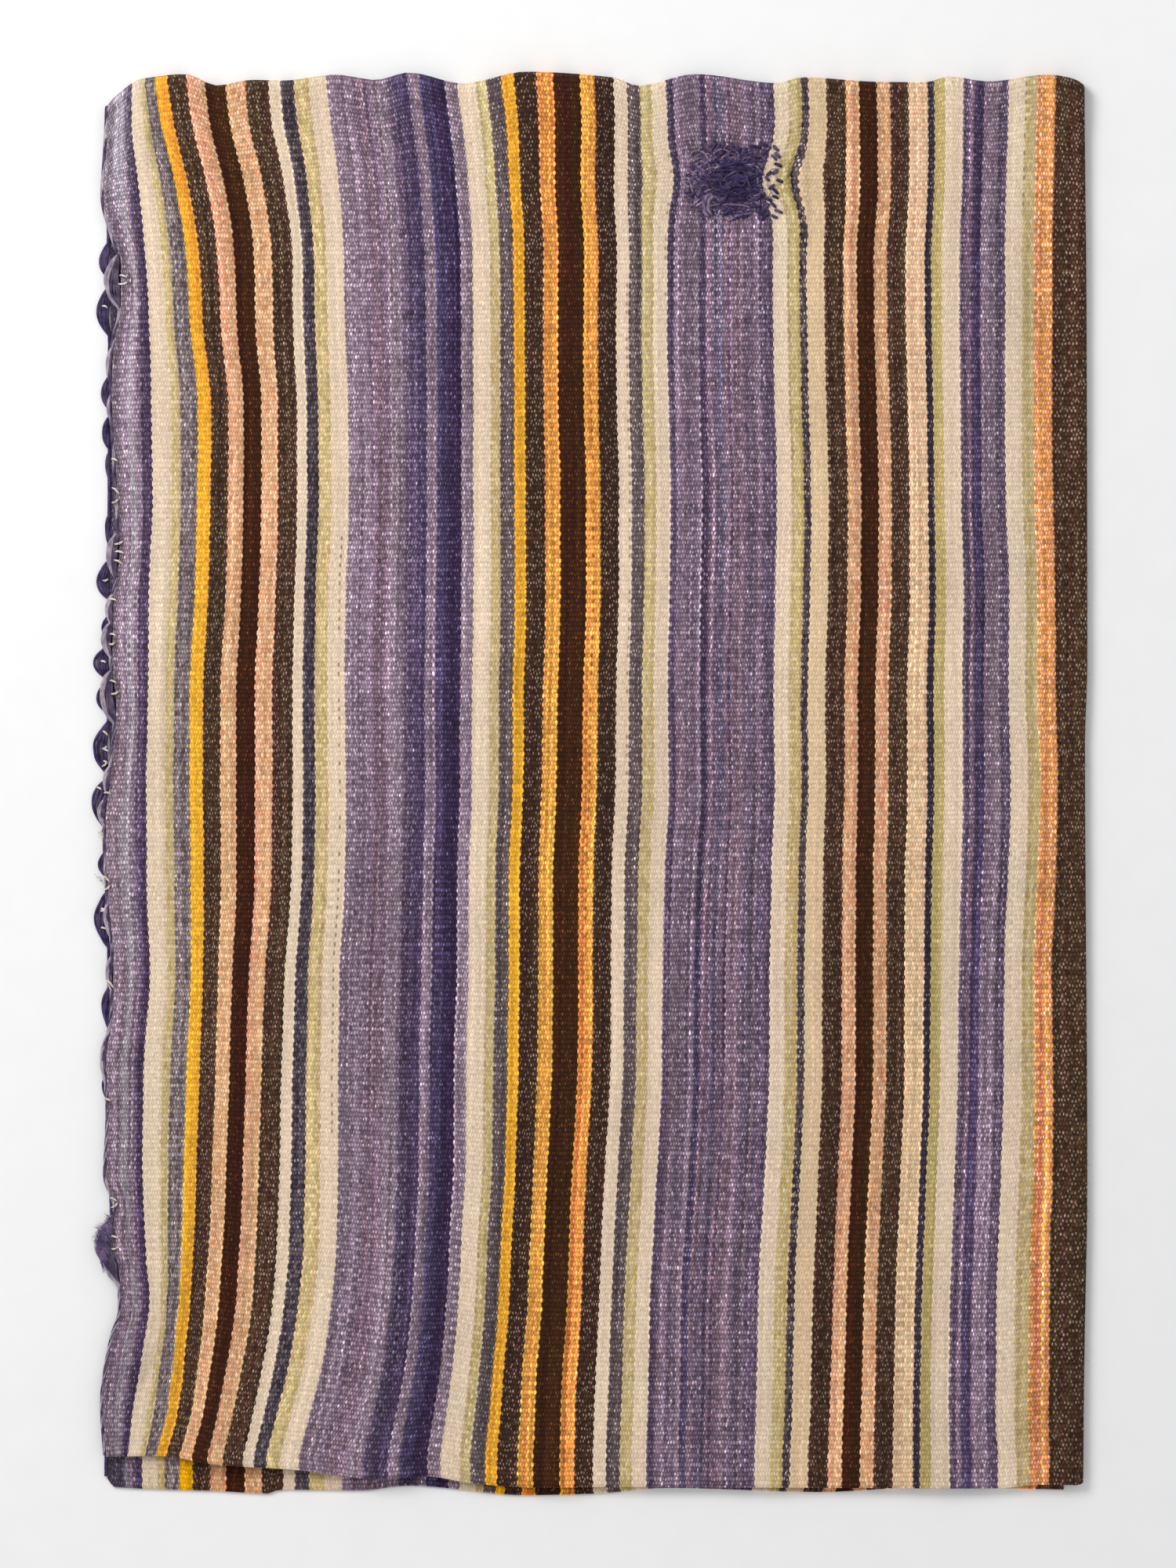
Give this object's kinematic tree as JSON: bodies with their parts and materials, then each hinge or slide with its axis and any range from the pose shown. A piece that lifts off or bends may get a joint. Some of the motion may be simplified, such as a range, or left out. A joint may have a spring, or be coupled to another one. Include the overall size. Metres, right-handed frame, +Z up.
{
  "type": "folded woven blanket",
  "caption": "Striped wool blanket panel, handwoven, folded once across and lying flat, with a darn near the fold and a loosened cord along its left selvedge.",
  "frame": {"origin": "middle of the folded blanket's outline, on the surface it lies on", "axes": "+X along the weft towards the sound selvedge, +Y along the warp towards the fold, +Z up"},
  "size_m": [0.7069, 1.0093, 0.0156],
  "materials": {
    "wool_cloth": "warp-faced wool weave in lavender, cream, brown, yellow and pink stripes, matt, faded on its outer face",
    "wool_cord": "softly spun lavender wool cord, matt",
    "darning_yarn": "coarse dark purple wool yarn, matt"
  },
  "bodies": {
    "root": {"cloth": "wool_cloth", "selvedge_cord": "wool_cord", "darn": "darning_yarn"}
  },
  "joints": []
}
